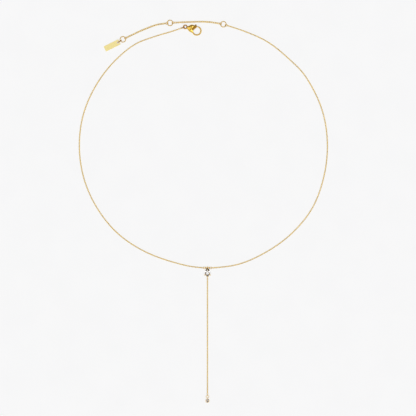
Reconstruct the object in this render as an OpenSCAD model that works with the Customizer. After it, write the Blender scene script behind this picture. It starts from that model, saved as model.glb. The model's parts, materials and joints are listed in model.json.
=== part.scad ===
// Y necklace laid open on a surface: a fine cable chain with an extender, a pear
// shaped stone at the centre and a long drop that ends in a small round stone.
// The surface is z = 0, x runs to the right and y runs up the layout.

/* [Chain] */
// Outer length of one chain link
link_length = 1.42; // [1.3:0.02:2]
// Outer width of one chain link
link_width = 0.9; // [0.86:0.02:1.2]
// Wire of the chain links
link_wire = 0.22; // [0.16:0.01:0.22]
// Play between a link and the next one along the chain
link_play = 0.12; // [0.11:0.01:0.2]
// Size of the extender's links, as a multiple of the other links
extender_size = 1.3; // [1:0.05:1.3]
// Length of the drop chain, from the setting's loop to the drop ring
drop_length = 67; // [40:1:90]

/* [Rings] */
// Outer diameter of the extender rings
ring_outer = 3.6; // [3.2:0.1:5]
// Wire of the extender rings
ring_wire = 0.5; // [0.35:0.05:0.6]
// Outer diameter of the small joint rings
joint_outer = 1.78; // [1.7:0.02:2.2]
// Wire of the joint rings and the drop ring
joint_wire = 0.28; // [0.2:0.02:0.28]
// Wire of the ring on the tag and the ring on the clasp
stout_wire = 0.45; // [0.3:0.05:0.45]
// Outer diameter of the ring on the clasp
clasp_ring_outer = 2.3; // [2.2:0.02:2.4]
// Outer diameter of the ring on the tag
tag_ring_outer = 3; // [2.9:0.05:3.2]
// Outer diameter of the ring at the end of the drop
drop_ring_outer = 1.85; // [1.8:0.05:3]
// Gap kept between rings that hook into each other
ring_play = 0.12; // [0.08:0.01:0.14]

/* [Tag] */
// Length of the tag plate
tag_length = 9.2; // [6:0.2:12]
// Width of the tag plate
tag_width = 3.2; // [2.4:0.1:5]
// Thickness of the tag plate
tag_thick = 0.6; // [0.4:0.05:0.7]
// Hole in the tag plate
tag_hole = 1.1; // [0.9:0.05:1.2]
// Metal left between the hole and the end of the plate
tag_edge = 0.4; // [0.35:0.05:0.45]
// Radius of the plate's corners
tag_corner = 0.25; // [0.1:0.05:0.6]

/* [Clasp] */
// Thickness of the clasp body
clasp_thick = 2.3; // [2.2:0.1:2.8]
// Distance from the middle of the eyelet to the middle of the hook
clasp_reach = 6.85; // [6.6:0.05:8]
// Outer diameter of the hook
hook_outer = 5.5; // [5.2:0.1:6]
// Width of the hook seen from above
hook_band = 0.8; // [0.6:0.05:0.9]
// Height of the hook above the surface it lies on, top to bottom
hook_thick = 1.4; // [1:0.1:1.8]
// Outer diameter of the eyelet
eyelet_outer = 2.7; // [2.5:0.1:3]
// Wire of the eyelet
eyelet_wire = 0.7; // [0.5:0.05:0.7]
// Thickness of the lever
lever_thick = 0.8; // [0.6:0.05:0.9]
// Width of the lever's straight gate
gate_width = 1.55; // [1.4:0.05:1.7]
// Distance from the middle of the hook to the face of the gate
gate_inset = 1.45; // [1.3:0.05:1.6]
// Gap on each side of the lever in its slot
lever_gap = 0.1; // [0.08:0.01:0.15]
// Diameter of the pin that the lever turns on
pin_d = 0.5; // [0.4:0.05:0.6]
// Gap round the pin in the lever
pin_gap = 0.05; // [0.04:0.01:0.08]
// Angle through which the lever opens
lever_swing = 25; // [15:1:28]

/* [Centre stone] */
// Length of the pear shaped stone
stone_length = 5; // [4.6:0.1:7]
// Width of the pear shaped stone
stone_width = 3; // [2.8:0.1:4]
// Height of the crown above the girdle
crown_height = 0.45; // [0.3:0.05:0.6]
// Thickness of the girdle
girdle = 0.15; // [0.1:0.05:0.25]
// Slope of the stone's underside
pavilion_slope = 38; // [32:1:40]
// Thickness of the prongs
prong_d = 0.5; // [0.4:0.05:0.6]
// How far the prongs reach over the stone
prong_reach = 0.35; // [0.2:0.05:0.5]
// Gap between a stone and its metal
stone_gap = 0.05; // [0.03:0.01:0.08]
// Outer diameter of the setting's loops
loop_outer = 1.3; // [1.2:0.05:1.5]
// Wire of the setting's loops
loop_wire = 0.3; // [0.25:0.01:0.32]

/* [End stone] */
// Diameter of the round stone at the end of the drop
end_stone_d = 1.6; // [1.4:0.1:3]
// Wall of its bezel
bezel_wall = 0.2; // [0.15:0.01:0.4]
// Metal under the stone
bezel_floor = 0.15; // [0.1:0.01:0.3]
// Outer diameter of the bezel's loop
bezel_loop_outer = 1.05; // [1:0.05:1.2]
// Wire of the bezel's loop
bezel_loop_wire = 0.25; // [0.2:0.01:0.27]

/* [Hidden] */
$fn = 48;

gold = "goldenrod";
pale_gold = "khaki";
clear = "aliceblue";

// Places on the surface, read off the layout
ring_1_at = [11.25, 105.25];
ring_2_at = [-18.75, 106];
ring_3_at = [-45.25, 96.75];
eyelet_at = [-10.2, 103.75];
clasp_heading = -19;
tag_heading = 206;
tag_ring_heading = 213;
stone_at = [2.3, -33.9];

// Routes of the chains from one end ring to the other, in the plane of the surface
right_points = [
  ring_1_at, [24, 101], [35, 96], [49, 85], [55.5, 78.5], [60.5, 71], [67.5, 54.5], [69.75, 36.5],
  [67.5, 18.5], [61, 1.5], [49.5, -12.5], [35, -23], [18.5, -30], [8, -31.5]
];
left_points = [
  [-6.5, -31], [-17, -28.5], [-33, -22.5], [-48, -12.5], [-59.5, 1.5], [-67, 18], [-69.75, 36.5],
  [-67.5, 54.5], [-60, 71.5], [-49, 85.5], [-37.5, 94.5], [-27, 98.5], [-17, 101.5], eyelet_at
];
inner_points = [ring_2_at, [-9, 106.5], [3.5, 106.5], ring_1_at];
outer_points = [ring_3_at, [-33, 102.5], [-26, 105], ring_2_at];

// Rings, as the radius of the wire's centre line
ring_r = (ring_outer - ring_wire) / 2;
joint_r = (joint_outer - joint_wire) / 2;
clasp_ring_r = (clasp_ring_outer - stout_wire) / 2;
tag_ring_r = (tag_ring_outer - stout_wire) / 2;
drop_ring_r = (drop_ring_outer - joint_wire) / 2;
eyelet_r = (eyelet_outer - eyelet_wire) / 2;
loop_r = (loop_outer - loop_wire) / 2;
bezel_loop_r = (bezel_loop_outer - bezel_loop_wire) / 2;

// Links and joint rings lean at this angle, turn and turn about
lean = 45;
link_half = (link_length - link_wire) / 2;
link_side = (link_width - link_wire) / 2;
link_pitch = link_length - 2 * link_wire - link_play;
// A chain that starts flat or upright settles into its lean over this many links
settle_links = 4;

// Heights of the middles of the chain and of the rings over the surface
chain_z = link_side * sin(lean) + link_wire / 2;
joint_z = joint_r * sin(lean) + joint_wire / 2;
clasp_z = max(clasp_thick / 2, clasp_ring_outer / 2);
// The last extender ring and the tag hang this far below the middle of the tag's ring
tag_sag = 0.5;
tag_z = tag_ring_outer / 2 - tag_sag;
// The chain keeps its end ring's height for this far, then sinks over this far
hold = 2.6;
ramp = 6;
// Half the stretch of route over which its heading is taken
probe = 0.05;

// The tube that stands for the two finest stretches of chain
tube_r = chain_z;
tube_sides = 8;
tube_rings = 40;

// Clasp
hook_r = (hook_outer - hook_band) / 2;
hook_mouth = hook_outer / 2 - hook_band;
hook_start = 200;
hook_tip = 92;
tip_gap = 6;
lever_tip = hook_tip + tip_gap;
lever_flat = 0.05;
lever_boss = 0.75;
// The gate is a straight bar at this angle to the clasp, from its foot to where it meets the hook's
// circle, and its back edge lies in line with the pivot
gate_angle = 61.5;
gate_back = 2.1;
gate_foot = 0.75;
gate_head = gate_back + sqrt(pow(hook_mouth, 2) - pow(gate_inset, 2));
bend_end = 128;
pivot = [clasp_reach, 0] + on_gate(-gate_back, gate_inset + gate_width);
slot_thick = lever_thick + 2 * lever_gap;
slot_back = lever_boss + lever_gap;
slot_reach = 4.8;
slot_side = 0.3;
nub_angle = 119;
nub_r = 0.5;
nub_reach = 3.15;
// The cheeks end along the gate's back edge, which they lap over
cheek_lap = 0.15;
mouth_ease = 0.05;
opening_r = hook_mouth + mouth_ease;
pin_seat = 0.01;
pin_inset = 0.1;
// Balls that the clasp swells over, with a named column each
swell_along = [0.175, 0.504, 0.504, 0.708, 0.7] * clasp_reach;
swell_across = [0, 0.264, -0.127, -0.218, 0.382] * hook_outer;
swell_r = [eyelet_wire * 0.8, clasp_thick / 2, clasp_thick / 2, hook_thick / 2, hook_thick / 2];

// Prongs: the balls at their bends are a little fuller than their wire, and they stand
// a little further off the stone than its gap, because a bend cuts the corner
ball_swell = 1.015;
prong_stand = 1.04;
prong_angles = [90, -28, 208];

// Stones: the round end of the pear, the flanks that run to its tip, and its facets
round_r = stone_width / 2;
flank_rise = stone_length - round_r;
flank_r = (pow(round_r, 2) + pow(flank_rise, 2)) / (2 * round_r);
round_y = round_r - stone_length / 2;
crown_slope = 35;
upper_slope = crown_slope + 6;
star_slope = crown_slope - 13;
lower_slope = pavilion_slope + 3;
star_start = 0.98;
spare_depth = 0.1;
culet_z = 0.3;
// The rail under the stone, by how far inside the stone's edge its middle lies
rail_inset = 0.7;
rail_width = 0.4;
pavilion_depth = round_r * tan(pavilion_slope);
seat_height = joint_z + stone_gap / cos(pavilion_slope) + (rail_inset + rail_width / 2) * tan(pavilion_slope);
girdle_z = max(culet_z + pavilion_depth, seat_height) + girdle;
pear_mains = [-90, -45, 0, 32, 90, 148, 180, 225];
round_mains = [for (i = [0 : 7]) 22.5 + 45 * i];
outline_steps = 48;

// The prongs' bars meet at these points, the foot of each in the middle of the rail
prong_off = (stone_gap + prong_d / 2) * prong_stand;
function prong_foot(a) = concat(pear_point(a, rail_inset), [prong_d / 2]);
function prong_knee(a) = concat(pear_point(a, 0) + prong_off * [cos(a), sin(a)], [girdle_z - prong_d]);

// The loops: two on a bar through the tip's prong, and one on the rail's round end
loops_apart = 0.6;
loop_spread = (loop_outer + loops_apart) / 2;
tip_share = (joint_z - prong_foot(90).z) / (prong_knee(90).z - prong_foot(90).z);
loop_side_y = prong_foot(90).y + tip_share * (prong_knee(90).y - prong_foot(90).y);
loop_low_y = -stone_length / 2 + rail_inset - rail_width / 2 - loop_r;

// Drop
drop_top = stone_at + [0, loop_low_y];
drop_ring_y = drop_top.y - drop_length - drop_ring_r;
bezel_r = end_stone_d / 2 + stone_gap + bezel_wall;
bezel_loop_y = drop_ring_y - hooked(drop_ring_r, joint_wire, bezel_loop_r, bezel_loop_wire);
bezel_y = bezel_loop_y - bezel_loop_r - bezel_r;
end_pavilion = end_stone_d / 2 * tan(pavilion_slope);
end_crown = crown_height * end_stone_d / stone_width;
end_girdle_z = bezel_floor + stone_gap + end_pavilion + girdle;
seat_share = 0.75;
bezel_lip = 0.16;

// Distance between the middles of two rings when the second hooks into the first
function hooked(r1, wire1, r2, wire2) = r1 - wire1 / 2 - ring_play - wire2 / 2 + r2;

// A smooth curve through points, measured along the chords between them
function run_to(p, i) = i <= 0 ? 0 : run_to(p, i - 1) + norm(p[i] - p[i - 1]);
function run_length(p) = run_to(p, len(p) - 1);
function span_of(p, s, i = 1) = i >= len(p) - 1 || s < run_to(p, i) ? i : span_of(p, s, i + 1);
function slope_at(p, i) =
  i == 0 ? (p[1] - p[0]) / norm(p[1] - p[0])
  : i == len(p) - 1 ? (p[i] - p[i - 1]) / norm(p[i] - p[i - 1])
  : let (a = norm(p[i] - p[i - 1]), b = norm(p[i + 1] - p[i]))
    ((p[i] - p[i - 1]) * b / a + (p[i + 1] - p[i]) * a / b) / (a + b);
function curve_at(p, s) =
  let (i = span_of(p, s), d = norm(p[i] - p[i - 1]), t = (s - run_to(p, i - 1)) / d)
  p[i - 1] * (2 * pow(t, 3) - 3 * pow(t, 2) + 1) + p[i] * (3 * pow(t, 2) - 2 * pow(t, 3))
  + slope_at(p, i - 1) * d * (pow(t, 3) - 2 * pow(t, 2) + t)
  + slope_at(p, i) * d * (pow(t, 3) - pow(t, 2));

// The chain sinks from the height of the ring at its end to the surface
function ease(t) = let (u = min(1, max(0, t))) u * u * (3 - 2 * u);
function height_at(s, whole, z0, z1, low) =
  low + (z0 - low) * (1 - ease((s - hold) / ramp)) + (z1 - low) * (1 - ease((whole - s - hold) / ramp));
function route_at(p, s, z0, z1, low = chain_z) =
  let (c = curve_at(p, s)) [c.x, c.y, height_at(s, run_length(p), z0, z1, low)];
function heading_at(p, s, z0, z1, low = chain_z) =
  route_at(p, s + probe, z0, z1, low) - route_at(p, s - probe, z0, z1, low);

// Corner and side points of the pear outline, by the direction that each faces
function tip_y(inset) = round_y + sqrt(pow(flank_r - inset, 2) - pow(flank_r - round_r, 2));
function tip_facing(inset) = acos((flank_r - round_r) / (flank_r - inset));
function pear_point(a, inset) =
  let (facing = a > 90 ? 180 - a : a, side = a > 90 ? -1 : 1)
  facing <= 0 ? [side * (round_r - inset) * cos(facing), round_y + (round_r - inset) * sin(facing)]
  : facing < tip_facing(inset)
    ? [side * ((flank_r - inset) * cos(facing) - flank_r + round_r),
       round_y + (flank_r - inset) * sin(facing)]
  : [0, tip_y(inset)];
outline_angles = [for (i = [0 : outline_steps - 1]) -90 + i * 360 / outline_steps];
function pear_outline(inset) = [
  for (a = outline_angles) if (a == 90 || abs(a - 90) > 90 - tip_facing(inset)) pear_point(a, inset)
];

// Points of a stone's edge: the pear's, or a circle's when its radius is given
function edge_point(a, inset, round) =
  round > 0 ? (round - inset) * [cos(a), sin(a)] : pear_point(a > 270 ? a - 360 : a, inset);
function edge_points(angles, inset, round) = [for (a = angles) edge_point(a, inset, round)];

module torus(r, wire) {
  rotate_extrude() translate([r, 0]) circle(d = wire);
}

// A ring whose middle is at a place, turned to a heading and leant about it
module ring_at(place, heading, roll, r, wire) {
  translate(place) rotate([0, 0, heading]) rotate([roll, 0, 0]) torus(r, wire);
}

// A round bar from one point to another, with a ball at its far end
module bar(a, b, d) {
  v = b - a;
  translate(a) rotate([0, acos(v.z / norm(v)), atan2(v.y, v.x)]) cylinder(h = norm(v), d = d);
  translate(b) sphere(d = d * ball_swell);
}

// One link, lying flat and pointing along x
module link() {
  straight = (link_length - link_width) / 2;
  for (side = [-1, 1]) {
    translate([side * straight, 0, 0]) rotate([0, 0, side > 0 ? -90 : 90])
      rotate_extrude(angle = 180) translate([link_side, 0]) circle(d = link_wire);
    translate([-straight, side * link_side, 0]) rotate([0, 90, 0])
      cylinder(h = 2 * straight, d = link_wire);
  }
}

// Turns a link or ring that points along x to point along a direction
module face_along(v) {
  rotate([0, -atan2(v.z, norm([v.x, v.y])), atan2(v.y, v.x)]) children();
}

// How many links of a size fit between the places of the first and the last
function link_count(first, last, size) = ceil((last - first) / (link_pitch * size)) + 1;
// The lean of link k of n, where the chain's two ends may lean otherwise
function link_lean(k, n, lean0, lean1) =
  lean + (lean0 - lean) * max(0, 1 - k / settle_links)
  + (lean1 - lean) * max(0, 1 - (n - 1 - k) / settle_links);

// Loose links along a route, each turned a quarter against the one before
module chain(points, first, last, z0, z1, lean0 = lean, upright_end = false, size = 1) {
  n = link_count(first, last, size);
  low = chain_z * size;
  lean1 = !upright_end ? lean : n % 2 == 1 ? 90 : 0;
  for (k = [0 : n - 1]) {
    s = first + (last - first) * k / (n - 1);
    translate(route_at(points, s, z0, z1, low)) face_along(heading_at(points, s, z0, z1, low))
      rotate([90 * k + link_lean(k, n, lean0, lean1), 0, 0]) scale(size) link();
  }
}

// A closed tube along a route, for a stretch of chain too fine to be loose links
module chain_tube(points, first, last, z0, z1) {
  spots = [for (k = [0 : tube_rings - 1]) first + (last - first) * k / (tube_rings - 1)];
  skin = [
    for (s = spots)
      let (c = route_at(points, s, z0, z1), h = heading_at(points, s, z0, z1),
        across = [-h.y, h.x, 0] / norm([h.x, h.y]), up = cross(h, across) / norm(h))
      for (j = [0 : tube_sides - 1])
        let (a = 360 * (j + 0.5) / tube_sides, r = tube_r / cos(180 / tube_sides))
        c + r * (across * cos(a) + up * sin(a))
  ];
  sides = [
    for (k = [0 : tube_rings - 2]) for (j = [0 : tube_sides - 1])
      let (a = k * tube_sides + j, b = k * tube_sides + (j + 1) % tube_sides)
      [a, b, b + tube_sides, a + tube_sides]
  ];
  start_cap = [for (j = [0 : tube_sides - 1]) tube_sides - 1 - j];
  end_cap = [for (j = [0 : tube_sides - 1]) (tube_rings - 1) * tube_sides + j];
  polyhedron(points = skin, faces = concat([start_cap], sides, [end_cap]), convexity = 4);
}

// Where a joint ring sits on a route, and where a tube starts beyond a ring
function joint_place(r, wire) = hooked(r, wire, joint_r, joint_wire);
function tube_start(place, r, wire) = place + r + wire / 2 + ring_play;

right_route = concat(right_points, [stone_at + [loop_spread, loop_side_y]]);
left_route = concat([stone_at + [-loop_spread, loop_side_y]], left_points);
clasp_ring_place = hooked(eyelet_r, eyelet_wire, clasp_ring_r, stout_wire);

// A joint ring on a route, leaning as one more link of the chain would
module joint_ring(points, place, roll, z) {
  color(gold) translate(route_at(points, place, z, z)) face_along(heading_at(points, place, z, z))
    rotate([roll, 0, 0]) torus(joint_r, joint_wire);
}

module main_chain_right() {
  start = tube_start(joint_place(ring_r, ring_wire), joint_r, joint_wire);
  end = run_length(right_route) - tube_start(joint_place(loop_r, loop_wire), joint_r, joint_wire);
  color(gold) chain_tube(right_route, start, end, joint_z, joint_z);
}

module main_chain_left() {
  start = tube_start(joint_place(loop_r, loop_wire), joint_r, joint_wire);
  end = run_length(left_route) - tube_start(clasp_ring_place, clasp_ring_r, stout_wire);
  color(gold) chain_tube(left_route, start, end, joint_z, clasp_z);
}

// Where the extender's first link sits beyond its joint ring
extender_margin = joint_place(ring_r, ring_wire)
  + hooked(joint_r, joint_wire, link_half * extender_size, link_wire * extender_size);

module extender_chain(points, z0, z1) {
  color(gold)
    chain(points, extender_margin, run_length(points) - extender_margin, z0, z1, size = extender_size);
}

function extender_links(points) =
  link_count(extender_margin, run_length(points) - extender_margin, extender_size);

module extender_ring(place, z) {
  color(gold) translate([place.x, place.y, z]) torus(ring_r, ring_wire);
}

module extender_joint(points, at_end, z) {
  place = joint_place(ring_r, ring_wire);
  s = at_end ? run_length(points) - place : place;
  joint_ring(points, s, at_end ? lean + 90 * extender_links(points) : -lean, z);
}

// The joint ring between the first extender ring and the right side of the chain
module main_joint() {
  joint_ring(right_route, joint_place(ring_r, ring_wire), -lean, joint_z);
}

// The tag's ring stands upright through the last extender ring and the tag's hole
tag_ring_half = sqrt(pow(tag_ring_r, 2) - pow(tag_sag, 2));
tag_ring_reach = hooked(ring_r, ring_wire, tag_ring_half, stout_wire);
function beyond_ring_3(reach, z) =
  [ring_3_at.x + reach * cos(tag_ring_heading), ring_3_at.y + reach * sin(tag_ring_heading), z];

module tag_ring() {
  color(gold)
    ring_at(beyond_ring_3(tag_ring_reach, tag_ring_outer / 2), tag_ring_heading, 90, tag_ring_r, stout_wire);
}

module rounded_plate(length, width, corner) {
  translate([corner, 0]) square([length - 2 * corner, width]);
  translate([0, corner]) square([length, width - 2 * corner]);
  for (x = [corner, length - corner]) for (y = [corner, width - corner])
    translate([x, y]) circle(r = corner);
}

// The plate leans on the ring at its hole and touches the surface at its far end
module tag_plate() {
  hole_to_tip = tag_length - tag_edge - tag_hole / 2;
  tilt = asin((tag_z - tag_thick / 2) / hole_to_tip);
  color(pale_gold)
    translate(beyond_ring_3(tag_ring_reach + tag_ring_half, tag_z))
    rotate([0, 0, tag_heading]) rotate([0, tilt, 0])
    difference() {
      translate([hole_to_tip - tag_length, -tag_width / 2, -tag_thick / 2])
        linear_extrude(tag_thick) rounded_plate(tag_length, tag_width, tag_corner);
      translate([0, 0, -tag_thick]) cylinder(h = 2 * tag_thick, d = tag_hole);
    }
}

module clasp_ring() {
  s = run_length(left_route) - clasp_ring_place;
  color(gold) translate(route_at(left_route, s, clasp_z, clasp_z))
    face_along(heading_at(left_route, s, clasp_z, clasp_z))
    rotate([90, 0, 0]) torus(clasp_ring_r, stout_wire);
}

module in_clasp() {
  translate([eyelet_at.x, eyelet_at.y, clasp_z]) rotate([0, 0, clasp_heading]) children();
}

// The section of the hook and the lever: flat sides with round edges
module band_section(r, width, height) {
  translate([r - width / 2, (width - height) / 2]) square([width, height - width]);
  for (side = [-1, 1]) translate([r, side * (height - width) / 2]) circle(d = width);
}

module clasp_hook() {
  translate([clasp_reach, 0, 0]) rotate([0, 0, hook_start])
    rotate_extrude(angle = 360 + hook_tip - hook_start) band_section(hook_r, hook_band, hook_thick);
}

// The swelling body between the eyelet and the hook
module clasp_bulb() {
  hull() for (i = [0 : len(swell_r) - 1])
    translate([swell_along[i], swell_across[i], 0]) sphere(r = swell_r[i], $fn = 32);
}

// A point beside the hook's middle: so far along the gate, and so far towards the body
function on_gate(along, off) =
  [along * cos(gate_angle) - off * sin(gate_angle), along * sin(gate_angle) + off * cos(gate_angle)];

module at_pivot() {
  translate([pivot.x, pivot.y, 0]) rotate([0, 0, gate_angle]) children();
}

// The slot that the lever turns in, from closed to fully open
module lever_slot() {
  foot = gate_foot - lever_gap;
  side = gate_width + lever_gap;
  translate([0, 0, -slot_thick / 2]) {
    cylinder(h = slot_thick, r = slot_back);
    rotate_extrude(angle = lever_swing) square([slot_reach, slot_thick]);
    for (turn = [0, lever_swing]) rotate([0, 0, turn]) linear_extrude(slot_thick) polygon([
      [0, slot_side], [0, -slot_back], [foot, -side], [slot_reach, -side], [slot_reach, slot_side]
    ]);
  }
}

// What is cut from the cheeks so that the gate shows from above and below
module gate_window() {
  translate([gate_foot - lever_gap, -hook_outer, -clasp_thick])
    cube([hook_outer, hook_outer - cheek_lap, 2 * clasp_thick]);
}

module clasp_body() {
  color(gold) in_clasp() difference() {
    union() {
      torus(eyelet_r, eyelet_wire);
      difference() {
        clasp_bulb();
        translate([0, 0, -clasp_thick]) cylinder(h = 2 * clasp_thick, r = eyelet_r);
        translate([clasp_reach, 0, -clasp_thick]) cylinder(h = 2 * clasp_thick, r = opening_r);
        at_pivot() gate_window();
      }
      clasp_hook();
    }
    at_pivot() lever_slot();
    translate([pivot.x, pivot.y, -clasp_thick]) cylinder(h = 2 * clasp_thick, d = pin_d + 2 * pin_seat);
  }
}

module clasp_pin() {
  color(gold) in_clasp() translate([pivot.x, pivot.y, pin_inset - clasp_thick / 2])
    cylinder(h = clasp_thick - 2 * pin_inset, d = pin_d);
}

// The gate's bar with its round edges, and the web that joins it to the boss
module gate() {
  edge = gate_width - lever_thick;
  translate([gate_foot, -gate_width / 2, 0]) rotate([90, 0, 90])
    linear_extrude(gate_head - gate_foot) {
      square([edge, lever_thick], center = true);
      for (side = [-1, 1]) translate([side * edge / 2, 0]) circle(d = lever_thick);
    }
  translate([0, 0, -lever_thick / 2]) {
    cylinder(h = lever_thick, r = lever_boss);
    linear_extrude(lever_thick) polygon([
      [0, 0], [0, -lever_boss], [gate_foot, lever_thick / 2 - gate_width],
      [2 * gate_foot, lever_thick / 2 - gate_width], [2 * gate_foot, -lever_thick / 2]
    ]);
  }
}

module clasp_lever() {
  color(gold) in_clasp() difference() {
    union() {
      at_pivot() gate();
      translate([clasp_reach, 0, 0]) rotate([0, 0, lever_tip])
        rotate_extrude(angle = bend_end - lever_tip)
        band_section(hook_r, lever_thick - lever_flat, lever_thick);
      translate([clasp_reach, 0, -lever_thick / 2]) rotate([0, 0, nub_angle]) {
        translate([hook_r, -nub_r, 0]) cube([nub_reach - hook_r, 2 * nub_r, lever_thick]);
        translate([nub_reach, 0, 0]) cylinder(h = lever_thick, r = nub_r);
      }
    }
    translate([pivot.x, pivot.y, -lever_thick]) cylinder(h = 2 * lever_thick, d = pin_d + 2 * pin_gap);
  }
}

module centre_ring(points, at_end) {
  place = joint_place(loop_r, loop_wire);
  s = at_end ? run_length(points) - place : place;
  joint_ring(points, s, at_end ? lean : -lean, joint_z);
}

// All that lies under a plane through a point, where the plane's upward side faces a direction
module under_plane(point, z, facing, slope) {
  reach = 4 * stone_length;
  translate([point.x, point.y, z]) rotate([0, slope, facing])
    translate([-reach / 2, -reach / 2, -reach]) cube(reach);
}

// One row of facets round a stone: a plane for each facing angle, through its own point
module facet_row(angles, points, z, slope) {
  intersection_for (i = [0 : len(angles) - 1]) under_plane(points[i], z, angles[i], slope);
}

// Facing angles set between the main facets, at a share of the way to the next one
function between(mains, share) = [
  for (i = [0 : len(mains) - 1])
    let (next = i == len(mains) - 1 ? mains[0] + 360 : mains[i + 1]) mains[i] + (next - mains[i]) * share
];
function halves(mains) = concat(between(mains, 0.25), between(mains, 0.75));

// A cut stone with the top edge of its girdle at z = 0: table, stars, mains and halves
module cut_stone(mains, round, crown, depth) {
  table_inset = crown / tan(crown_slope);
  upper = halves(mains);
  stars = between(mains, 0.5);
  under = girdle + depth + spare_depth;
  intersection() {
    translate([0, 0, -under]) linear_extrude(crown + under)
      polygon(round > 0 ? edge_points(outline_angles, 0, round) : pear_outline(0));
    facet_row(mains, edge_points(mains, 0, round), 0, crown_slope);
    facet_row(upper, edge_points(upper, 0, round), 0, upper_slope);
    facet_row(stars, edge_points(stars, table_inset * star_start, round), crown, star_slope);
    mirror([0, 0, 1]) facet_row(mains, edge_points(mains, 0, round), girdle, pavilion_slope);
    mirror([0, 0, 1]) facet_row(upper, edge_points(upper, 0, round), girdle, lower_slope);
  }
}

module centre_stone() {
  color(clear) translate([stone_at.x, stone_at.y, girdle_z])
    cut_stone(pear_mains, 0, crown_height, pavilion_depth);
}

// A prong rises from the rail past the girdle and bends over onto the crown
module prong(a) {
  facing = [cos(a), sin(a)];
  edge = pear_point(a, 0);
  half_bend = (90 - crown_slope) / 2;
  shoulder = prong_knee(a) + [0, 0, prong_d];
  bend = concat(edge + facing * prong_off * cos(half_bend), [girdle_z + prong_off * sin(half_bend)]);
  top = concat(edge + facing * prong_off * sin(crown_slope), [girdle_z + prong_off * cos(crown_slope)]);
  claw = top + prong_reach * concat(-facing * cos(crown_slope), [sin(crown_slope)]);
  translate(prong_foot(a)) sphere(d = prong_d);
  bar(prong_foot(a), prong_knee(a), prong_d);
  bar(prong_knee(a), shoulder, prong_d);
  bar(shoulder, bend, prong_d);
  bar(bend, top, prong_d);
  bar(top, claw, prong_d);
}

module centre_setting() {
  color(gold) translate([stone_at.x, stone_at.y, 0]) {
    linear_extrude(joint_z) difference() {
      polygon(pear_outline(rail_inset - rail_width / 2));
      polygon(pear_outline(rail_inset + rail_width / 2));
    }
    for (a = prong_angles) prong(a);
    for (side = [-1, 1])
      translate([side * loop_spread, loop_side_y, joint_z]) torus(loop_r, loop_wire);
    translate([-loop_spread + loop_r, loop_side_y, joint_z]) rotate([0, 90, 0])
      cylinder(h = 2 * (loop_spread - loop_r), d = loop_wire);
    translate([0, loop_low_y, joint_z]) torus(loop_r, loop_wire);
  }
}

module drop_chain() {
  points = [drop_top, [drop_top.x, drop_ring_y]];
  first = hooked(loop_r, loop_wire, link_half, link_wire);
  last = run_length(points) - hooked(drop_ring_r, joint_wire, link_half, link_wire);
  color(gold) chain(points, first, last, joint_z, joint_z, 90, true);
}

module drop_ring() {
  color(gold) translate([stone_at.x, drop_ring_y, joint_z]) torus(drop_ring_r, joint_wire);
}

module end_bezel() {
  inner = bezel_r - bezel_wall;
  seat_r = inner * seat_share;
  seat_z = end_girdle_z - girdle - stone_gap - end_pavilion * (1 - seat_share);
  color(gold) {
    translate([stone_at.x, bezel_y, 0]) rotate_extrude() polygon([
      [0, 0], [bezel_r, 0], [bezel_r, end_girdle_z + bezel_lip / 2], [inner, end_girdle_z + bezel_lip],
      [inner, seat_z], [seat_r, seat_z], [seat_r, bezel_floor], [0, bezel_floor]
    ]);
    ring_at([stone_at.x, bezel_loop_y, joint_z], 90, 90, bezel_loop_r, bezel_loop_wire);
  }
}

module end_stone() {
  color(clear) translate([stone_at.x, bezel_y, end_girdle_z])
    cut_stone(round_mains, end_stone_d / 2, end_crown, end_pavilion);
}

main_chain_right();
main_chain_left();
extender_chain(inner_points, joint_z, joint_z);  // extender_chain_inner
extender_chain(outer_points, tag_z, joint_z);  // extender_chain_outer
extender_ring(ring_1_at, joint_z);  // extender_ring_1
extender_ring(ring_2_at, joint_z);  // extender_ring_2
extender_ring(ring_3_at, tag_z);  // extender_ring_3
main_joint();  // joint_ring_1
extender_joint(inner_points, true, joint_z);  // joint_ring_2
extender_joint(inner_points, false, joint_z);  // joint_ring_3
extender_joint(outer_points, true, joint_z);  // joint_ring_4
extender_joint(outer_points, false, tag_z);  // joint_ring_5
tag_ring();
tag_plate();
clasp_ring();
clasp_body();
clasp_pin();
clasp_lever();
centre_ring(right_route, true);  // centre_ring_right
centre_ring(left_route, false);  // centre_ring_left
centre_setting();
centre_stone();
drop_chain();
drop_ring();
end_bezel();
end_stone();
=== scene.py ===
"""A Y necklace laid open on a pale surface.

Its finish, its finest links and its cast and pressed pieces are made here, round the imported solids."""

import json
import math
import random

import bmesh
import bpy
from mathutils import Matrix, Vector


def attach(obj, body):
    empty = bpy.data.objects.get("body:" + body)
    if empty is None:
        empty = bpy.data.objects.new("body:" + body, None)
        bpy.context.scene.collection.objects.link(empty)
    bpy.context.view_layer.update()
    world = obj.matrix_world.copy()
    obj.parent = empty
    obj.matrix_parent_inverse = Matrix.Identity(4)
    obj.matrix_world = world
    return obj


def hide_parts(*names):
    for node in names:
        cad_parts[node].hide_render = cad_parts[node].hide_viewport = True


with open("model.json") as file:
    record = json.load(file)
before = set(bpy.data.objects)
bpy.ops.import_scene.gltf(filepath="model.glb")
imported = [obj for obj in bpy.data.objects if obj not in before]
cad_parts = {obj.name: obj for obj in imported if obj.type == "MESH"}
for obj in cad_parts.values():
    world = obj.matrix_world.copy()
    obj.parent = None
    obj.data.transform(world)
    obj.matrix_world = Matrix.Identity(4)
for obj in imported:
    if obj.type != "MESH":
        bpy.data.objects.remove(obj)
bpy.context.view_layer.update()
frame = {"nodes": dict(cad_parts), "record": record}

# Sizes and places are in millimetres, as the solids have them, and angles in degrees
MM = 0.001
LINK_LENGTH = 1.42
LINK_WIDTH = 0.9
LINK_WIRE = 0.22
LINK_PLAY = 0.12
EXTENDER_SIZE = 1.3
RING_PLAY = 0.12
LINK_BEND = (LINK_WIDTH - LINK_WIRE) / 2
LINK_STRAIGHT = (LINK_LENGTH - LINK_WIDTH) / 2
LINK_PITCH = LINK_LENGTH - 2 * LINK_WIRE - LINK_PLAY
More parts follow.
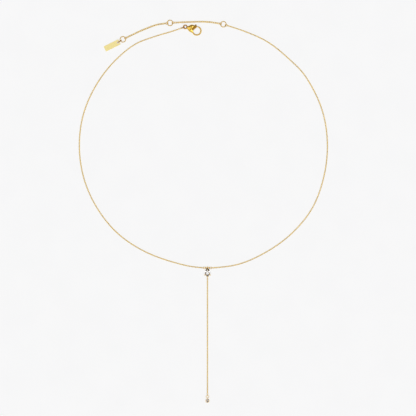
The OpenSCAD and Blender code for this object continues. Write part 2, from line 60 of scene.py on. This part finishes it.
# Steps round a link and round its wire
RING_STEPS = 12
WIRE_STEPS = 5
# How the links lie: their lean, how far they stray from it, and over how many links they settle at a ring
LEAN = 45
SWAY = 5
SETTLE_LINKS = 4

# Rings as (radius of the wire's middle, wire)
LINK_END = ((LINK_LENGTH - LINK_WIRE) / 2, LINK_WIRE)
EXTENDER_LINK_END = (LINK_END[0] * EXTENDER_SIZE, LINK_END[1] * EXTENDER_SIZE)
EXTENDER_RING = (1.55, 0.5)
JOINT_RING = (0.75, 0.28)
CLASP_RING = (0.925, 0.45)
DROP_RING = (0.785, 0.28)
SETTING_LOOP = (0.5, 0.3)
EYELET = (1.0, 0.7)

# Heights of the middles of the chain and of the rings over the surface
CHAIN_Z = LINK_BEND * math.sin(math.radians(LEAN)) + LINK_WIRE / 2
JOINT_Z = JOINT_RING[0] * math.sin(math.radians(LEAN)) + JOINT_RING[1] / 2
CLASP_Z = 1.15
TAG_Z = 1.0
# How far from its ring a chain keeps the ring's height, and over what length it then sinks to its own
HOLD = 2.6
RAMP = 6.0
# The step along a route that tells which way it heads
PROBE = 0.05

# The middle of the clasp's belly and how high its cheeks swell there
CLASP_BULB = (-6.9, 103)
BULB_RISE = 1.15
# What the file takes of the cheeks: how far round, down to which slope, how hard and how many strokes
FILE_REACH = 2.4
FILE_SLOPE = 0.5
FILE_BITE = 0.7
FILE_STROKES = 300
# How hard one round of tumbling softens a cast piece
TUMBLE_BITE = 0.5

# Corners of the solids' triangles that are nearer than this are one
SAME_CORNER = 0.0005
# A pressed piece: its slivers are thinner, its level faces meet flatter, its sharp edges steeper than these
SLIVER = 0.01
LEVEL_ANGLE = 1
SHARP_ANGLE = 40
# Steps round a rolled edge
ROLL_STEPS = 3
# Its joints steeper than this stay crisp, and its faces of more square millimetres than this are flat
CRISP_ANGLE = 35
LARGE_FACE = 1.0

# The chains' routes from one end ring to the other
RIGHT_ROUTE = [
    (11.25, 105.25), (24, 101), (35, 96), (49, 85), (55.5, 78.5), (60.5, 71), (67.5, 54.5), (69.75, 36.5),
    (67.5, 18.5), (61, 1.5), (49.5, -12.5), (35, -23), (18.5, -30), (8, -31.5), (3.25, -31.8),
]
LEFT_ROUTE = [
    (1.35, -31.8), (-6.5, -31), (-17, -28.5), (-33, -22.5), (-48, -12.5), (-59.5, 1.5), (-67, 18),
    (-69.75, 36.5), (-67.5, 54.5), (-60, 71.5), (-49, 85.5), (-37.5, 94.5), (-27, 98.5), (-17, 101.5),
    (-10.2, 103.75),
]
INNER_ROUTE = [(-18.75, 106), (-9, 106.5), (3.5, 106.5), (11.25, 105.25)]
OUTER_ROUTE = [(-45.25, 96.75), (-33, 102.5), (-26, 105), (-18.75, 106)]
DROP_ROUTE = [(2.3, -36.4), (2.3, -104.185)]

# The camera's frame on the surface
VIEW_CENTRE = (2.6, 1.95)
VIEW_WIDTH = 234.0
CAMERA_HEIGHT = 1600.0
SENSOR = 36.0
FAR_CLIP = 100

# The paper's side in metres, and how far it lies under the necklace
PAPER_SIDE = 30
PAPER_DROP = 0.02
TABLE_GLOW = 0.82
TENT_GLOW = 2.5

# Painted shade in the end cup and round the eyelet, as the middle, the radius and how soft the edge is, and
# the tones it darkens to
END_CUP_SHADE = ((2.3, -106.435, 0.55), 0.9, 0.06)
CUP_SHADE_TONE = (0.18, 0.17, 0.16)
EYELET_SHADE = ((-10.2, 103.75, 1.15), 1.7, 0.5)
EYELET_SHADE_TONE = (0.6, 0.4, 0.05)

# The plate's deep and light tones
DRAWN_TONES = ((0.86, 0.58, 0.03), (0.92, 0.64, 0.06))
CAST_TONES = ((0.82, 0.55, 0.1), (0.88, 0.61, 0.14))
# The lever's tones are darker than the cast gold, a painted shade over the whole lever
LEVER_SHADE_TONES = ((0.6, 0.36, 0.06), (0.68, 0.42, 0.09))
# The tag's ring and the clasp's ring have dark rust gold tones, painted shade
RING_SHADE_TONES = ((0.4, 0.18, 0.02), (0.48, 0.23, 0.03))
TAG_TONES = ((1.0, 0.83, 0.34), (1.0, 0.88, 0.42))
# The brushing of the tag: a turn that brings it along the tag, and how much finer it is across
BRUSH_TURN = -26
BRUSH_STRETCH = (250, 9000, 9000)


def hooked(outer, inner):
    """The distance between the middles of two rings when the second hooks into the first."""
    return outer[0] - outer[1] / 2 - RING_PLAY - inner[1] / 2 + inner[0]


class Route:
    """A smooth curve through points on the surface, measured along the chords between them."""

    def __init__(self, points):
        self.points = [Vector(p) for p in points]
        steps = [b - a for a, b in zip(self.points, self.points[1:])]
        self.spans = [step.length for step in steps]
        self.starts = [sum(self.spans[:i]) for i in range(len(steps))]
        self.length = sum(self.spans)
        self.slopes = [steps[0] / self.spans[0]]
        for before, after, a, b in zip(steps, steps[1:], self.spans, self.spans[1:]):
            self.slopes.append((before * b / a + after * a / b) / (a + b))
        self.slopes.append(steps[-1] / self.spans[-1])

    def at(self, s):
        """The point at a length along the route."""
        i = max([k for k, start in enumerate(self.starts) if start <= s] or [0])
        d = self.spans[i]
        t = (s - self.starts[i]) / d
        return (
            self.points[i] * (2 * t**3 - 3 * t**2 + 1)
            + self.points[i + 1] * (3 * t**2 - 2 * t**3)
            + self.slopes[i] * d * (t**3 - 2 * t**2 + t)
            + self.slopes[i + 1] * d * (t**3 - t**2)
        )


def ease(t):
    """A smooth step from 0 to 1, level at both ends."""
    t = min(1, max(0, t))
    return t * t * (3 - 2 * t)


def on_route(route, s, z0, z1, low):
    """A point of a chain, which sinks from the height of the ring at each end to its low height."""
    flat = route.at(s)
    rise = (z0 - low) * (1 - ease((s - HOLD) / RAMP))
    rise += (z1 - low) * (1 - ease((route.length - s - HOLD) / RAMP))
    return Vector((flat.x, flat.y, low + rise))


def facing(route, s, z0, z1, low):
    """Turns what points along x to point along the route."""
    along = on_route(route, s + PROBE, z0, z1, low) - on_route(route, s - PROBE, z0, z1, low)
    along.normalize()
    across = Vector((0, 0, 1)).cross(along).normalized()
    return Matrix((along, across, along.cross(across))).transposed().to_4x4()


# Modelling


def only(*objects):
    """Selects these objects and nothing else, and makes the first one active."""
    bpy.ops.object.select_all(action="DESELECT")
    for o in objects:
        o.select_set(True)
    bpy.context.view_layer.objects.active = objects[0]


def pick(test):
    """In edit mode, selects the vertices whose place passes a test, and their faces."""
    mesh = bmesh.from_edit_mesh(bpy.context.edit_object.data)
    for v in mesh.verts:
        v.select = test(v.co)
    mesh.select_flush(True)
    mesh.select_flush(False)
    bmesh.update_edit_mesh(bpy.context.edit_object.data)


def finish_piece(piece, body, slot, finish, *nodes):
    """Brings a piece from millimetres to its real size, gives it its finish and body, and hides the nodes it
    stands for; the slot is not used.
    """
    piece.data.transform(Matrix.Scale(MM, 4) @ piece.matrix_world)
    piece.matrix_world = Matrix.Identity(4)
    piece.data.materials.clear()
    piece.data.materials.append(finish)
    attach(piece, body)
    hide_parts(*nodes)


def copy_of(node, name):
    """A copy of a CAD node in millimetres, merged into one closed mesh."""
    piece = bpy.data.objects.new(name, frame["nodes"][node].data.copy())
    bpy.context.scene.collection.objects.link(piece)
    piece.data.transform(Matrix.Scale(1 / MM, 4))
    only(piece)
    bpy.ops.object.mode_set(mode="EDIT")
    bpy.ops.mesh.select_all(action="SELECT")
    bpy.ops.mesh.customdata_custom_splitnormals_clear()
    bpy.ops.mesh.remove_doubles(threshold=SAME_CORNER)
    bpy.ops.object.mode_set(mode="OBJECT")
    return piece


def apply_all(piece):
    """Applies a piece's modifiers in their order."""
    only(piece)
    for modifier in list(piece.modifiers):
        bpy.ops.object.modifier_apply(modifier=modifier.name)


# Finishes


def new_material(name):
    """A material with its nodes, its links and its shader."""
    material = bpy.data.materials.new(name)
    material.use_nodes = True
    nodes = material.node_tree.nodes
    return material, nodes, material.node_tree.links, nodes["Principled BSDF"]


def noise_on(nodes, links, scale, detail=3.0, turn=0.0, stretch=(1, 1, 1)):
    """Noise over the object's own place in metres, which a turn about z and a stretch can make into grain."""
    place = nodes.new("ShaderNodeTexCoord")
    mapping = nodes.new("ShaderNodeMapping")
    mapping.inputs["Rotation"].default_value = (0, 0, turn)
    mapping.inputs["Scale"].default_value = stretch
    noise = nodes.new("ShaderNodeTexNoise")
    noise.inputs["Scale"].default_value = scale
    noise.inputs["Detail"].default_value = detail
    links.new(place.outputs["Object"], mapping.inputs["Vector"])
    links.new(mapping.outputs["Vector"], noise.inputs["Vector"])
    return noise.outputs["Fac"]


def ramp_on(nodes, links, fac, stops):
    """Colours along a value, as (place, colour) stops."""
    ramp = nodes.new("ShaderNodeValToRGB")
    for i, (place, colour) in enumerate(stops):
        element = ramp.color_ramp.elements[i] if i < 2 else ramp.color_ramp.elements.new(place)
        element.position = place
        element.color = (*colour, 1)
    links.new(fac, ramp.inputs["Fac"])
    return ramp.outputs["Color"]


def range_on(nodes, links, fac, low, high):
    """A value from 0 to 1 spread between two others."""
    spread = nodes.new("ShaderNodeMapRange")
    spread.clamp = False
    spread.inputs["To Min"].default_value = low
    spread.inputs["To Max"].default_value = high
    links.new(fac, spread.inputs["Value"])
    return spread.outputs["Result"]


def bump_on(nodes, links, height, distance):
    """The finest relief, with a depth in metres."""
    bump = nodes.new("ShaderNodeBump")
    bump.inputs["Strength"].default_value = 1.0
    bump.inputs["Distance"].default_value = distance
    links.new(height, bump.inputs["Height"])
    return bump.outputs["Normal"]


def plated_gold(name, tones, shade_ball=None, shade_tone=None):
    """Polished yellow gold plate: a tone that drifts a little, and a fine polishing haze with a faint relief.

    A ball in millimetres can be given, inside which the plate's colour is darkened towards a tone: painted
    shade."""
    deep, light = tones
    material, nodes, links, metal = new_material(name)
    metal.inputs["Metallic"].default_value = 1.0
    tone = ramp_on(nodes, links, noise_on(nodes, links, scale=300.0), [(0.3, deep), (0.7, light)])
    # Painted shade: inside the ball the tone is multiplied towards a darker colour
    if shade_ball:
        middle, radius, edge = shade_ball
        place = nodes.new("ShaderNodeTexCoord")
        centred = nodes.new("ShaderNodeMapping")
        centred.vector_type = "TEXTURE"
        centred.inputs["Location"].default_value = [along * MM for along in middle]
        centred.inputs["Scale"].default_value = (radius * MM,) * 3
        ball = nodes.new("ShaderNodeTexGradient")
        ball.gradient_type = "SPHERICAL"
        links.new(place.outputs["Object"], centred.inputs["Vector"])
        links.new(centred.outputs["Vector"], ball.inputs["Vector"])
        shade_factor = ramp_on(nodes, links, ball.outputs["Fac"], [(0.0, (1.0,) * 3), (edge, shade_tone)])
        mixed = nodes.new("ShaderNodeVectorMath")
        mixed.operation = "MULTIPLY"
        links.new(tone, mixed.inputs[0])
        links.new(shade_factor, mixed.inputs[1])
        tone = mixed.outputs["Vector"]
    links.new(tone, metal.inputs["Base Color"])
    haze = noise_on(nodes, links, scale=3500.0, detail=4.0)
    links.new(range_on(nodes, links, haze, low=0.1, high=0.24), metal.inputs["Roughness"])
    links.new(bump_on(nodes, links, haze, distance=0.000004), metal.inputs["Normal"])
    return material


def pale_plate():
    """The tag's sheet, rolled and lightly brushed along its length."""
    material, nodes, links, metal = new_material("pale_plate")
    metal.inputs["Metallic"].default_value = 1.0
    turn = math.radians(BRUSH_TURN)
    grain = noise_on(nodes, links, scale=1.0, detail=4.0, turn=turn, stretch=BRUSH_STRETCH)
    tones = [(0.35, TAG_TONES[0]), (0.65, TAG_TONES[1])]
    links.new(ramp_on(nodes, links, grain, tones), metal.inputs["Base Color"])
    links.new(range_on(nodes, links, grain, low=0.1, high=0.2), metal.inputs["Roughness"])
    links.new(bump_on(nodes, links, grain, distance=0.000003), metal.inputs["Normal"])
    return material


def clear_cut():
    """Clear cut stone, with the faintest cloud in its body."""
    material, nodes, links, stone = new_material("clear_cut")
    stone.inputs["Transmission Weight"].default_value = 0.95
    stone.inputs["IOR"].default_value = 1.55
    cloud = noise_on(nodes, links, scale=700.0)
    tones = [(0.3, (0.95, 0.96, 0.98)), (0.7, (1.0, 1.0, 1.0))]
    links.new(ramp_on(nodes, links, cloud, tones), stone.inputs["Base Color"])
    links.new(range_on(nodes, links, cloud, low=0.0, high=0.02), stone.inputs["Roughness"])
    return material


def pale_paper():
    """A white sheet on a light table, lit a little from below so that hardly a shadow shows."""
    material, nodes, links, paper = new_material("pale_paper")
    paper.inputs["Roughness"].default_value = 0.9
    paper.inputs["Specular IOR Level"].default_value = 0.1
    paper.inputs["Emission Color"].default_value = (0.976, 0.985, 1.0, 1)
    paper.inputs["Emission Strength"].default_value = TABLE_GLOW
    fibre = noise_on(nodes, links, scale=60.0)
    tones = [(0.3, (0.19, 0.19, 0.19)), (0.7, (0.21, 0.21, 0.21))]
    links.new(ramp_on(nodes, links, fibre, tones), paper.inputs["Base Color"])
    return material


DRAWN_GOLD = plated_gold("drawn_gold", DRAWN_TONES)
CAST_GOLD = plated_gold("cast_gold", CAST_TONES)
# The end cup's gold carries a painted shade inside the cup
CUP_SHADED_GOLD = plated_gold("cup_shaded_gold", CAST_TONES, END_CUP_SHADE, CUP_SHADE_TONE)
# The clasp's gold carries a painted shade round the eyelet
CLASP_SHADED_GOLD = plated_gold("clasp_shaded_gold", CAST_TONES, EYELET_SHADE, EYELET_SHADE_TONE)
# The lever's gold is darker all over: painted shade
LEVER_SHADED_GOLD = plated_gold("lever_shaded_gold", LEVER_SHADE_TONES)
# The tag's ring and the clasp's ring are darker all over: painted shade
RING_SHADED_GOLD = plated_gold("ring_shaded_gold", RING_SHADE_TONES)
RING_SHADED_NODES = ("tag_ring", "clasp_ring")
FINISH = {"gold": CAST_GOLD, "pale_gold": pale_plate(), "clear_stone": clear_cut()}


# Chains


def model_link():
    """One link in millimetres, flat and pointing along x: a wire ring drawn out along its two sides."""
    bpy.ops.object.select_all(action="DESELECT")
    bpy.ops.mesh.primitive_torus_add(
        major_segments=RING_STEPS, minor_segments=WIRE_STEPS,
        major_radius=LINK_BEND, minor_radius=LINK_WIRE / 2, rotation=(0, 0, math.radians(180 / RING_STEPS)),
    )
    link = bpy.context.object
    bpy.ops.object.transform_apply()
    bpy.ops.object.mode_set(mode="EDIT")
    for side in (-1, 1):
        pick(lambda co: co.x * side > 0)
        bpy.ops.transform.translate(value=(side * LINK_STRAIGHT, 0, 0))
    bpy.ops.object.mode_set(mode="OBJECT")
    return link


def link_lean(k, count, lean0, lean1):
    """How a link leans: as the rings at the chain's ends ask, and evenly between them."""
    lean = LEAN + (lean0 - LEAN) * max(0, 1 - k / SETTLE_LINKS)
    return lean + (lean1 - LEAN) * max(0, 1 - (count - 1 - k) / SETTLE_LINKS)


def chain(name, points, margins, z0, z1, lean0=LEAN, last_roll=None, count=None, sway=0.0, size=1.0):
    """Links along a route, each turned a quarter against the one before.

    The margins lie between the route's ends and the middles of the first and the last link. The rings at
    its ends have the heights z0 and z1. The first link leans by lean0, and a last roll is how the last lies.
    """
    route = Route(points)
    first, last = margins[0], route.length - margins[1]
    count = count or math.ceil((last - first) / (LINK_PITCH * size)) + 1
    lean1 = LEAN if last_roll is None else (last_roll - 90 * (count - 1)) % 180
    draw = random.Random(name)
    mesh = bmesh.new()
    for k in range(count):
        s = first + (last - first) * k / (count - 1)
        roll = 90 * k + link_lean(k, count, lean0, lean1) + sway * draw.uniform(-1, 1)
        place = Matrix.Translation(on_route(route, s, z0, z1, CHAIN_Z * size))
        place = place @ facing(route, s, z0, z1, CHAIN_Z * size) @ Matrix.Scale(size, 4)
        place = place @ Matrix.Rotation(math.radians(roll), 4, "X")
        made = len(mesh.verts)
        mesh.from_mesh(LINK.data)
        mesh.verts.ensure_lookup_table()
        bmesh.ops.transform(mesh, matrix=place, verts=mesh.verts[made:])
    piece = bpy.data.objects.new(name + "_links", bpy.data.meshes.new(name + "_links"))
    mesh.to_mesh(piece.data)
    mesh.free()
    bpy.context.scene.collection.objects.link(piece)
    only(piece)
    bpy.ops.object.shade_smooth()
    finish_piece(piece, "necklace", "gold", DRAWN_GOLD, name)


def chains():
    """The five chains, each hooked at both ends into the rings or loops that the solids have there."""
    at_ring = hooked(EXTENDER_RING, JOINT_RING) + hooked(JOINT_RING, LINK_END)
    at_loop = hooked(SETTING_LOOP, JOINT_RING) + hooked(JOINT_RING, LINK_END)
    at_clasp = hooked(EYELET, CLASP_RING) + hooked(CLASP_RING, LINK_END)
    # An even count, which turns the last link a quarter from the first
    right_count = 2 * math.ceil((Route(RIGHT_ROUTE).length - at_ring - at_loop) / LINK_PITCH / 2 + 0.5)
    chain("main_chain_right", RIGHT_ROUTE, (at_ring, at_loop), JOINT_Z, JOINT_Z, count=right_count, sway=SWAY)
    chain("main_chain_left", LEFT_ROUTE, (at_loop, at_clasp), JOINT_Z, CLASP_Z, last_roll=0, sway=SWAY)
    extender_ends = (hooked(EXTENDER_RING, JOINT_RING) + hooked(JOINT_RING, EXTENDER_LINK_END),) * 2
    chain("extender_chain_inner", INNER_ROUTE, extender_ends, JOINT_Z, JOINT_Z, size=EXTENDER_SIZE)
    chain("extender_chain_outer", OUTER_ROUTE, extender_ends, TAG_Z, JOINT_Z, size=EXTENDER_SIZE)
    drop_ends = (hooked(SETTING_LOOP, LINK_END), hooked(DROP_RING, LINK_END))
    chain("drop_chain", DROP_ROUTE, drop_ends, JOINT_Z, JOINT_Z, lean0=90, last_roll=90)


# Cast pieces


def cast(node, body, finish, grain, rounds, filing=None):
    """A cast and tumbled piece: its solid with every edge and joint softened by the polishing.

    The grain is the size of its skin's cells, and a filing takes off more after the tumbling's rounds."""
    piece = copy_of(node, node + "_polished")
    skin = piece.modifiers.new("skin", "REMESH")
    skin.mode = "VOXEL"
    skin.voxel_size = grain
    tumble = piece.modifiers.new("tumble", "SMOOTH")
    tumble.factor = TUMBLE_BITE
    tumble.iterations = rounds
    apply_all(piece)
    if filing:
        filing(piece)
    bpy.ops.object.shade_smooth()
    finish_piece(piece, body, "gold", finish, node)


def round_the_bulb(piece):
    """Files the clasp's cheeks rounder, above and below, but not its outline, its slot or its pin's seat."""
    belly = piece.vertex_groups.new(name="belly")
    for v in piece.data.vertices:
        side = math.copysign(1, v.co.z - CLASP_Z)
        far = (v.co - Vector((*CLASP_BULB, CLASP_Z + side * BULB_RISE))).length
        if v.normal.z * side > FILE_SLOPE and far < FILE_REACH:
            belly.add([v.index], 1 - ease(far / FILE_REACH), "REPLACE")
    file_off = piece.modifiers.new("file_off", "SMOOTH")
    file_off.vertex_group = "belly"
    file_off.factor = FILE_BITE
    file_off.iterations = FILE_STROKES
    apply_all(piece)


def pressed(node, slot, finish, width):
    """A flat piece pressed from sheet, with its sharp edges rolled over."""
    piece = copy_of(node, node + "_pressed")
    only(piece)
    bpy.ops.object.mode_set(mode="EDIT")
    bpy.ops.mesh.select_all(action="SELECT")
    bpy.ops.mesh.dissolve_degenerate(threshold=SLIVER)
    bpy.ops.mesh.dissolve_limited(angle_limit=math.radians(LEVEL_ANGLE))
    bpy.ops.object.mode_set(mode="OBJECT")
    roll = piece.modifiers.new("roll", "BEVEL")
    roll.width = width
    roll.segments = ROLL_STEPS
    roll.limit_method = "ANGLE"
    roll.angle_limit = math.radians(SHARP_ANGLE)
    apply_all(piece)
    bpy.ops.object.shade_smooth_by_angle(angle=math.radians(CRISP_ANGLE))
    for face in piece.data.polygons:
        if face.area > LARGE_FACE:
            face.use_smooth = False
    finish_piece(piece, "necklace", slot, finish, node)


# Stage


def stage():
    """The paper on its light table, the camera straight above and the light tent round both."""
    bpy.ops.object.select_all(action="DESELECT")
    bpy.ops.mesh.primitive_plane_add(size=PAPER_SIDE, location=(0, 0, -PAPER_DROP * MM))
    floor = bpy.context.object
    floor.name = "floor"
    floor.data.materials.append(pale_paper())

    camera_data = bpy.data.cameras.new("camera")
    camera_data.sensor_width = SENSOR
    camera_data.lens = SENSOR * CAMERA_HEIGHT / VIEW_WIDTH
    camera_data.clip_end = FAR_CLIP
    camera = bpy.data.objects.new("camera", camera_data)
    camera.location = (VIEW_CENTRE[0] * MM, VIEW_CENTRE[1] * MM, CAMERA_HEIGHT * MM)
    bpy.context.scene.collection.objects.link(camera)
    bpy.context.scene.camera = camera

    world = bpy.data.worlds.new("tent")
    bpy.context.scene.world = world
    world.use_nodes = True
    nodes, links = world.node_tree.nodes, world.node_tree.links
    place = nodes.new("ShaderNodeTexCoord")
    split = nodes.new("ShaderNodeSeparateXYZ")
    links.new(place.outputs["Generated"], split.inputs["Vector"])
    # The tent's rings from straight below to straight above
    lamp, white = (1.0, 1.0, 1.0), (0.36, 0.36, 0.36)
    grey, dark = (0.15, 0.115, 0.08), (0.05, 0.038, 0.026)
    tent = ramp_on(nodes, links, split.outputs["Z"], [
        (0.0, white), (0.24, white), (0.3, dark), (0.5, dark), (0.58, grey), (0.74, grey), (0.8, lamp),
        (0.89, lamp), (0.92, white), (0.992, white), (0.997, grey),
    ])
    # Its cloth is dimmed over the clasp's end of the necklace
    dim, far = (0.24, 0.2, 0.15), (0.7, 0.7, 0.7)
    sides = ramp_on(nodes, links, range_on(nodes, links, split.outputs["Y"], 0.5, 1.0), [
        (0.5, lamp), (0.66, dim), (0.85, dim), (1.0, far),
    ])
    cloth = nodes.new("ShaderNodeVectorMath")
    cloth.operation = "MULTIPLY"
    links.new(tent, cloth.inputs[0])
    links.new(sides, cloth.inputs[1])
    links.new(cloth.outputs["Vector"], nodes["Background"].inputs["Color"])
    nodes["Background"].inputs["Strength"].default_value = TENT_GLOW
    bpy.context.scene.view_settings.view_transform = "Standard"


LINK = model_link()
stage()
chains()
bpy.data.objects.remove(LINK)
cast("clasp_body", "necklace", CLASP_SHADED_GOLD, grain=0.05, rounds=5, filing=round_the_bulb)
cast("clasp_lever", "lever", LEVER_SHADED_GOLD, grain=0.04, rounds=3)
cast("centre_setting", "necklace", CAST_GOLD, grain=0.035, rounds=3)
pressed("tag_plate", "pale_gold", FINISH["pale_gold"], width=0.06)
pressed("end_bezel", "gold", CUP_SHADED_GOLD, width=0.03)
# The tag's ring and the clasp's ring take the dark ring gold, painted shade; the other solids take their own
# finish
for row in frame["record"]["subparts"]:
    solid = frame["nodes"][row["node"]]
    solid.data.materials.clear()
    solid.data.materials.append(RING_SHADED_GOLD if row["node"] in RING_SHADED_NODES else FINISH[row["material_slot"]])
